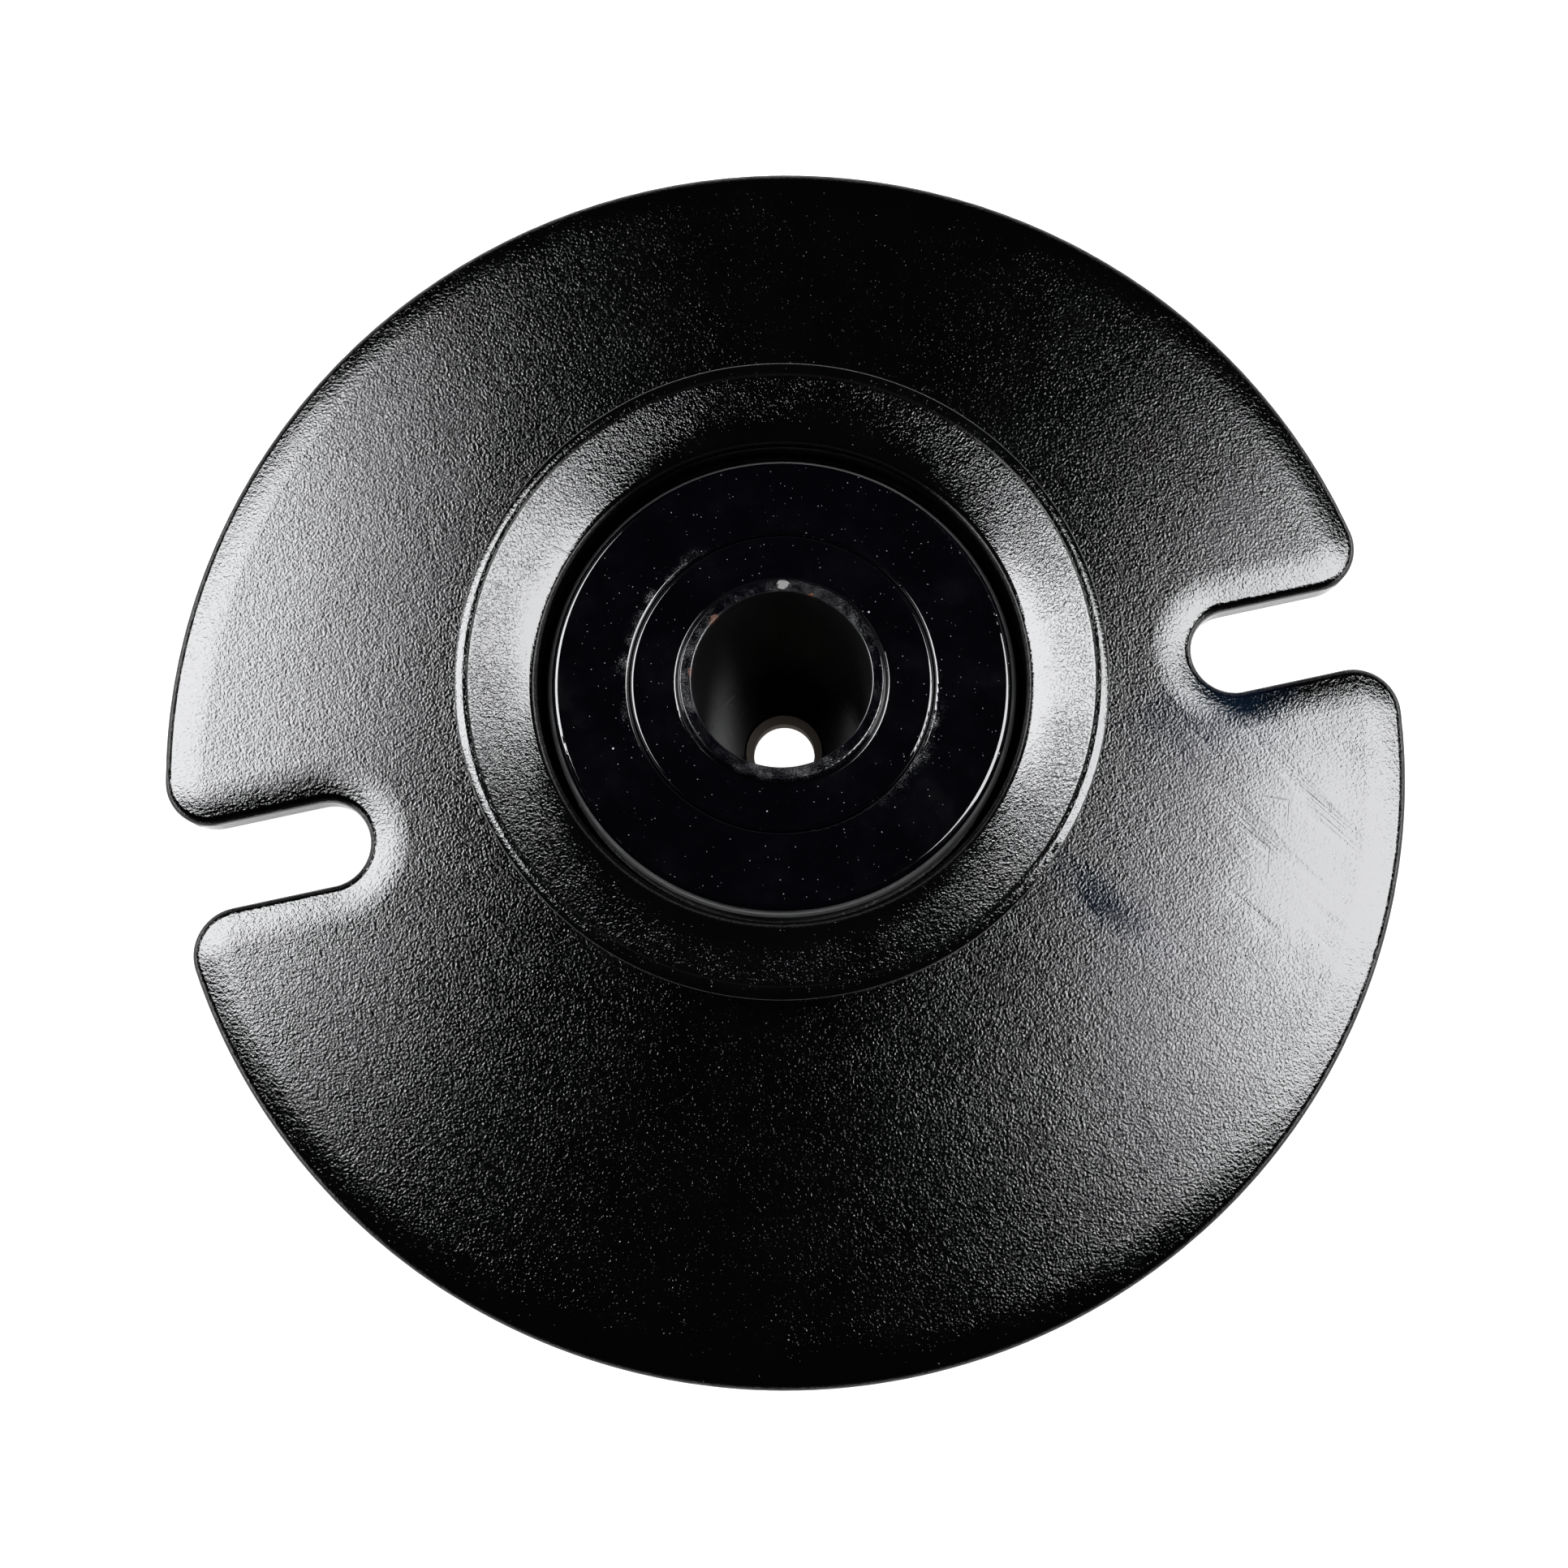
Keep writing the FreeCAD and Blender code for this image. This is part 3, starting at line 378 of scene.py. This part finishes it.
def centred(graph, fine, broad, share):
    """Adds a share of a broad relief to a fine one and takes their mean away."""
    return graph.math("SUBTRACT", graph.math("MULTIPLY_ADD", broad, share, fine),
                      0.5 * (1.0 + share))


def dusted(graph, base, roughness, density=1.0, seed=3.0, extra=None):
    """Lays fine light dust and fibres over a coat: returns its colour and roughness."""
    fine = spots(graph, 0.5, 0.09, 0.05 * density, seed)
    coarse = spots(graph, 4.0, 0.18, 0.06 * density, seed + 5.1)
    dust = most(graph, graph.math("MULTIPLY", fine, 0.35), graph.math("MULTIPLY", coarse, 0.6))
    if extra is not None:
        dust = most(graph, dust, extra)
    return graph.mix(dust, base, DUST), graph.mix_value(dust, roughness, DUST_ROUGHNESS)


# ---------------------------------------------------------------- coats

def deck_coat():
    """Black powder coat with crisp orange peel, rubbed and wiped on the right."""
    graph = Coat("deck_powder_coat")
    rubbed = patch(graph, RUBBED_CENTRE, RUBBED_REACH, RUBBED_TURN, seed=4.0, ragged=0.28,
                   edge=0.6)
    wiped = most(graph, *[patch(graph, centre, reach, turn, seed=seed, edge=0.8)
                          for centre, reach, turn, seed in WIPED_PATCHES])
    pressed = strokes(graph, PRESSED_LINES)
    creases = strokes(graph, CREASES)
    nick = stroke(graph, *NICK)

    peel = graph.noise(0.42, detail=2.0, roughness=0.5, warp=0.35)
    broad = graph.noise(1.1, detail=1.0)
    relief = centred(graph, peel, broad, 0.4)
    kept = graph.step(graph.noise(11.0), 0.3, 0.7, 0.95, 1.05)
    kept = graph.mix_value(rubbed, kept, RUBBED_PEEL)
    kept = graph.mix_value(wiped, kept, WIPED_PEEL)
    kept = graph.mix_value(pressed, kept, 0.0)
    relief = graph.math("MULTIPLY", relief, kept)
    normal = graph.bump(graph.noise(26.0, detail=1.0), SHEET_WAVE)
    normal = graph.bump(relief, DECK_PEEL, normal)
    lines = graph.math("MULTIPLY", hairlines(graph, math.radians(55), 7.0),
                       most(graph, rubbed, wiped))
    normal = graph.bump(lines, -HAIRLINE_DEPTH, normal)
    normal = graph.bump(creases, -CREASE_DEPTH, normal)
    normal = graph.bump(nick, -NICK_DEPTH, normal)

    mottle = graph.noise(9.0, detail=4.0, roughness=0.6)
    base = graph.mix(mottle, *DECK_BLACKS)
    base = graph.mix(wiped, base, WIPED_BLUE)
    roughness = graph.step(mottle, 0.3, 0.7, 0.058, 0.074)
    roughness = graph.mix_value(rubbed, roughness, RUBBED_ROUGHNESS)
    fibres = graph.math("MULTIPLY", hairs(graph, 2.0, spacing=12.0), 0.3)
    base, roughness = dusted(graph, base, roughness, 0.3, extra=fibres)
    base = graph.mix(nick, base, NICK_GREY)
    return graph.surface(base_color=base, roughness=roughness, normal=normal, ior=COAT_IOR)


def flange_coat():
    """The same coat, sprayed wetter: its peel is finer and runs in short curled streaks."""
    graph = Coat("flange_coat")
    peel = graph.noise(0.34, detail=1.5, roughness=0.5, warp=0.7)
    grain = graph.noise(0.9, detail=2.0, warp=0.5)
    strength = graph.noise(6.0, detail=2.0)
    relief = centred(graph, peel, grain, 0.5)
    relief = graph.math("MULTIPLY", relief, graph.step(strength, 0.3, 0.7, 0.75, 1.1))
    radius = graph.radius()
    lip = graph.step(radius, *FLANGE_LIP_RADII, 1.0, 0.45)
    crest = graph.step(radius, *FLANGE_CREST_RADII, 0.35, 1.3)
    normal = graph.bump(product(graph, relief, lip, crest), FLANGE_PEEL)
    normal = graph.bump(strokes(graph, CROSS_STROKES), -CROSS_DEPTH, normal)
    mottle = graph.noise(7.0, detail=3.0)
    base = graph.mix(mottle, *FLANGE_BLACKS)
    roughness = graph.step(mottle, 0.3, 0.7, 0.05, 0.08)
    base, roughness = dusted(graph, base, roughness, 0.5, seed=11.0)
    return graph.surface(base_color=base, roughness=roughness, normal=normal, ior=COAT_IOR)


def enamel(graph, seed, extra=None):
    """Base, roughness and gentle ripple of the smooth enamel on the hub's face."""
    smear = graph.noise(8.0, detail=4.0, roughness=0.65)
    base = graph.mix(smear, *ENAMEL_BLACKS)
    roughness = graph.step(smear, 0.35, 0.75, 0.05, 0.12)
    base, roughness = dusted(graph, base, roughness, 1.6, seed=seed, extra=extra)
    return base, roughness, graph.bump(graph.noise(14.0, detail=1.0), ENAMEL_RIPPLE)


def gloss_coat():
    """The cover disc's enamel, with pale dust gathered in places along its seam to the hub."""
    graph = Coat("gloss_enamel")
    radius = graph.radius()
    near_seam = graph.step(radius, *SEAM_DUST_RADII)
    side = most(graph, sector(graph, 150.0, 60.0), sector(graph, -40.0, 45.0),
                graph.math("MULTIPLY", sector(graph, 20.0, 40.0), 0.5))
    crowd = product(graph, near_seam, side, graph.level)
    powder = graph.noise(0.12, detail=3.0, roughness=0.75)
    clump = graph.noise(2.2, detail=2.0)
    powder = graph.math("MULTIPLY_ADD", clump, 0.5, powder)
    powder = graph.step(graph.math("MULTIPLY_ADD", crowd, 0.22, powder), 1.02, 1.14)
    powder = graph.math("MULTIPLY", powder, graph.math("MULTIPLY", crowd, 0.40, clamp=True))
    fibres = graph.math("MULTIPLY", hairs(graph, 5.0), 0.35)
    base, roughness, normal = enamel(graph, 21.0, most(graph, powder, fibres))
    return graph.surface(base_color=base, roughness=roughness, normal=normal, ior=COAT_IOR)


def hub_coat():
    """Enamel rubbed through in specks round the tube's rim, and bare metal at its floor."""
    graph = Coat("hub_enamel_worn")
    z = graph.split(graph.place)[2]
    rim = HUB_HIGH.z / MM
    radius = graph.radius()
    low, high = (rim - depth for depth in RIM_WEAR_DEPTHS)
    on_rim = graph.math("MULTIPLY", graph.step(z, low, high),
                        graph.math("LESS_THAN", radius, RIM_RADIUS))
    busy = most(graph, sector(graph, 45.0, 55.0), sector(graph, 165.0, 60.0),
                sector(graph, -100.0, 60.0), 0.25)
    grit = graph.noise(0.11, detail=2.0, roughness=0.7)
    broad = graph.noise(1.6, detail=2.0)
    wear = graph.math("MULTIPLY_ADD", broad, 0.3, grit)
    wear = graph.step(graph.math("MULTIPLY_ADD", busy, 0.10, wear), 0.84, 0.92)
    wear = product(graph, wear, on_rim, 0.8)
    chip = patch(graph, CHIP_CENTRE, CHIP_REACH, ragged=0.5, seed=6.0, edge=0.2, grain=0.6)
    chip = graph.math("MULTIPLY", chip, on_rim)
    rust = most(graph, *[patch(graph, centre, reach, ragged=0.5, seed=seed, edge=0.3, grain=0.8)
                         for centre, reach, seed in RUST_SPOTS])
    rust = product(graph, rust, on_rim, graph.step(grit, 0.42, 0.60))
    bare = graph.math("MULTIPLY", graph.math("LESS_THAN", z, HOLE_TOP),
                      graph.math("LESS_THAN", radius, HOLE_RADIUS))
    fibres = graph.math("MULTIPLY", hairs(graph, 8.0), 0.4)
    base, roughness, normal = enamel(graph, 33.0, fibres)
    base = graph.mix(wear, base, WORN_GREY)
    base = graph.mix(rust, base, RUST_BROWN)
    base = graph.mix(chip, base, CHIP_GREY)
    base = graph.mix(bare, base, BARE_METAL)
    marked = most(graph, wear, rust, chip, bare)
    roughness = graph.mix_value(marked, roughness, MARK_ROUGHNESS)
    streaks = graph.noise(1.0, graph.vector("MULTIPLY", graph.place, (2.0, 2.0, 0.25)), detail=3.0)
    inside = graph.math("MULTIPLY", graph.math("LESS_THAN", radius, BORE_RADIUS),
                        graph.math("GREATER_THAN", z, BORE_FLOOR))
    roughness = graph.mix_value(inside, roughness, BORE_ROUGHNESS)
    normal = graph.bump(graph.math("MULTIPLY", streaks, inside), BORE_STREAKS, normal)
    normal = graph.bump(most(graph, wear, chip), -WEAR_DEPTH, normal)
    return graph.surface(base_color=base, roughness=roughness, normal=normal, ior=COAT_IOR)


def casting_coat():
    """Satin black paint over the housing's rough casting."""
    graph = Coat("housing_paint")
    skin = graph.noise(1.6, detail=3.0, roughness=0.6)
    normal = graph.bump(skin, CASTING_SKIN)
    mottle = graph.noise(8.0, detail=3.0)
    base = graph.mix(mottle, *HOUSING_BLACKS)
    roughness = graph.step(mottle, 0.3, 0.7, 0.28, 0.42)
    base, roughness = dusted(graph, base, roughness, 0.5, seed=41.0)
    return graph.surface(base_color=base, roughness=roughness, normal=normal)


# ---------------------------------------------------------------- metals and rubber

def turned_metal(name, light, dark, rough_low, rough_high, groove=3.0, depth=5.0):
    """Metal with fine turning marks round the Z axis and a little staining."""
    graph = Coat(name)
    x, y, z = graph.split(graph.place)
    radius = graph.vector("LENGTH", graph.join(x, y, 0.0))
    lines = graph.noise(1.0 / groove, graph.join(radius, z, 0.0), detail=3.0, roughness=0.7)
    stain = graph.noise(5.0, detail=4.0, roughness=0.6)
    base = graph.mix(graph.math("MULTIPLY_ADD", lines, 0.5, graph.math("MULTIPLY", stain, 0.5)),
                     dark, light)
    roughness = graph.step(stain, 0.3, 0.7, rough_low, rough_high)
    normal = graph.bump(lines, depth)
    return graph.surface(base_color=base, roughness=roughness, metallic=1.0, normal=normal)


def plated_metal(name, light, dark, rough_low, rough_high, worn=None):
    """Plated or blackened steel: cloudy, with brighter rubbed spots."""
    graph = Coat(name)
    cloud = graph.noise(2.5, detail=4.0, roughness=0.6)
    grain = graph.noise(0.3, detail=2.0)
    base = graph.mix(cloud, dark, light)
    roughness = graph.step(cloud, 0.3, 0.7, rough_low, rough_high)
    if worn:
        rubbed = graph.step(graph.noise(1.2, detail=3.0), 0.60, 0.70)
        base = graph.mix(rubbed, base, worn)
    normal = graph.bump(grain, PLATED_GRAIN)
    return graph.surface(base_color=base, roughness=roughness, metallic=1.0, normal=normal)


def rubber(name, base_low, base_high, grain_size=0.35, depth=14.0):
    """Matt rubber or fibre with a fine grain and a faint bloom."""
    graph = Coat(name)
    grain = graph.noise(grain_size, detail=3.0, roughness=0.6)
    bloom = graph.noise(4.0, detail=3.0)
    base = graph.mix(bloom, base_low, base_high)
    roughness = graph.step(bloom, 0.3, 0.7, 0.55, 0.75)
    base, roughness = dusted(graph, base, roughness, 0.4, seed=51.0)
    normal = graph.bump(grain, depth)
    return graph.surface(base_color=base, roughness=roughness, normal=normal)


MATERIALS = {
    "deck_coat": deck_coat(),
    "flange_coat": flange_coat(),
    "gloss_coat": gloss_coat(),
    "hub_coat": hub_coat(),
    "casting_coat": casting_coat(),
    "zinc_plate": plated_metal("zinc_plate", (0.62, 0.63, 0.65), (0.44, 0.45, 0.46), 0.22, 0.38),
    "screw_steel": plated_metal("black_oxide", (0.050, 0.048, 0.046), (0.022, 0.022, 0.024),
                                0.32, 0.48, worn=(0.20, 0.19, 0.18)),
    "bearing_steel": turned_metal("bearing_steel", (0.68, 0.68, 0.69), (0.52, 0.52, 0.53),
                                  0.12, 0.22, groove=5.0, depth=2.0),
    "ball_steel": plated_metal("ball_steel", (0.82, 0.82, 0.83), (0.74, 0.74, 0.75), 0.04, 0.09),
    "cage_brass": turned_metal("cage_brass", (0.80, 0.60, 0.30), (0.62, 0.43, 0.18), 0.22, 0.36),
    "shield_steel": turned_metal("shield_steel", (0.58, 0.58, 0.59), (0.42, 0.42, 0.43),
                                 0.24, 0.38),
    "turned_steel": turned_metal("turned_steel", (0.55, 0.55, 0.56), (0.38, 0.38, 0.39),
                                 0.22, 0.36),
    "spring_steel": plated_metal("phosphate_steel", (0.13, 0.13, 0.135), (0.07, 0.07, 0.075),
                                 0.36, 0.52),
    "seal_rubber": rubber("seal_rubber", (0.014, 0.014, 0.0145), (0.028, 0.028, 0.028)),
    "gasket": rubber("gasket_fibre", (0.022, 0.021, 0.020), (0.055, 0.052, 0.048),
                     grain_size=0.6, depth=30.0),
}


def dress_nodes():
    for part in frame["record"]["subparts"]:
        node = frame["nodes"][part["node"]]
        node.data.materials.clear()
        node.data.materials.append(MATERIALS[part["material_slot"]])


dress_nodes()


# ---------------------------------------------------------------- stage

def make_floor():
    """A pale table: evenly white where it is seen, calm where the black coat mirrors it."""
    side = FLOOR_HALF_SIDE
    mesh = bpy.data.meshes.new("floor")
    corners = [(-side, -side, 0), (side, -side, 0), (side, side, 0), (-side, side, 0)]
    mesh.from_pydata(corners, [], [(0, 1, 2, 3)])
    floor = bpy.data.objects.new("floor", mesh)
    bpy.context.scene.collection.objects.link(floor)
    paint = bpy.data.materials.new("floor_paint")
    paint.use_nodes = True
    shader = paint.node_tree.nodes["Principled BSDF"]
    shader.inputs["Base Color"].default_value = colour(FLOOR_COLOUR)
    shader.inputs["Roughness"].default_value = FLOOR_ROUGHNESS
    shader.inputs["Specular IOR Level"].default_value = FLOOR_SPECULAR
    shader.inputs["Emission Color"].default_value = (1, 1, 1, 1)

    graph = Graph(paint.node_tree)
    place = graph.add("ShaderNodeTexCoord").outputs["Object"]
    radius = graph.vector("LENGTH", place)
    along = graph.split(place)["Y"]
    path = graph.add("ShaderNodeLightPath").outputs

    def fade(value, *limits):
        return graph.step(value, *limits, shape="LINEAR")

    hole_end = FLOOR_HOLE_RADIUS * MM
    slot_start, slot_end = (reach * MM for reach in FLOOR_SLOT_RADII)
    far_start, far_end = (reach * MM for reach in FLOOR_FAR_BACK)
    hole = fade(path["Is Diffuse Ray"], 0, 1, 0, FLOOR_GLOW_UNDER)
    inner = fade(radius, hole_end, hole_end + MM, hole, 0)
    slots = fade(radius, slot_start, slot_start + MM, inner, FLOOR_GLOW_UNDER)
    outer = fade(radius, slot_end, slot_end + MM, slots, 0)
    mirrored = fade(along, far_start, far_end, outer, FLOOR_GLOW_FAR)
    glow = fade(path["Is Camera Ray"], 0, 1, mirrored, FLOOR_GLOW_SEEN)
    graph.feed(shader.inputs["Emission Strength"], glow)
    mesh.materials.append(paint)


def make_softbox(name, near, front, back, turn, radiance):
    """A flat soft light above and to one side, facing straight down."""
    far = math.copysign(SOFTBOX_OUTER, near)
    spin = Matrix.Rotation(math.radians(turn), 4, "Z")
    light = bpy.data.lights.new(name, "AREA")
    light.shape = "RECTANGLE"
    light.size = abs(far - near)
    light.size_y = back - front
    light.energy = radiance * math.pi * light.size * light.size_y
    light.color = LIGHT_COLOUR
    lamp = bpy.data.objects.new(name, light)
    bpy.context.scene.collection.objects.link(lamp)
    middle = Vector(((near + far) / 2, (front + back) / 2, SOFTBOX_HEIGHT))
    lamp.matrix_world = spin @ Matrix.Translation(middle)


def make_world():
    """The room: black overhead, bright walls left and right, dim warm front and grey back."""
    world = bpy.data.worlds.new("studio")
    bpy.context.scene.world = world
    world.use_nodes = True
    graph = Graph(world.node_tree)
    coordinates = graph.add("ShaderNodeTexCoord")
    turned = graph.turned(coordinates.outputs["Generated"], -ROOM_TURN)
    across, along, up = graph.split(turned)
    sideways = graph.math("ABSOLUTE", across)
    ends = graph.mix(graph.step(along, *ROOM_END_FADE), ROOM_FRONT, ROOM_BACK)
    walls = graph.mix(graph.step(sideways, *ROOM_SIDE_FADE), ends, ROOM_SIDE)
    room = graph.mix(graph.step(up, *ROOM_TOP_FADE), walls, ROOM_TOP)
    seen = graph.add("ShaderNodeLightPath").outputs["Is Camera Ray"]
    shown = graph.mix(seen, room, BACKDROP)
    graph.feed(world.node_tree.nodes["Background"].inputs["Color"], shown)


def make_camera():
    data = bpy.data.cameras.new("camera")
    data.lens = CAMERA_LENS
    data.sensor_width = CAMERA_SENSOR
    data.clip_start = CAMERA_NEAR
    camera = bpy.data.objects.new("camera", data)
    bpy.context.scene.collection.objects.link(camera)
    forward = CAMERA_FORWARD.normalized()
    right = forward.cross(CAMERA_UP).normalized()
    up = right.cross(forward)
    turn = Matrix((right, up, -forward)).transposed().to_4x4()
    camera.matrix_world = Matrix.Translation(CAMERA_PLACE) @ turn
    bpy.context.scene.camera = camera


make_floor()
for box_name, edges in SOFTBOXES.items():
    make_softbox(box_name, *edges)
make_world()
make_camera()
bpy.context.scene.view_settings.view_transform = "Standard"
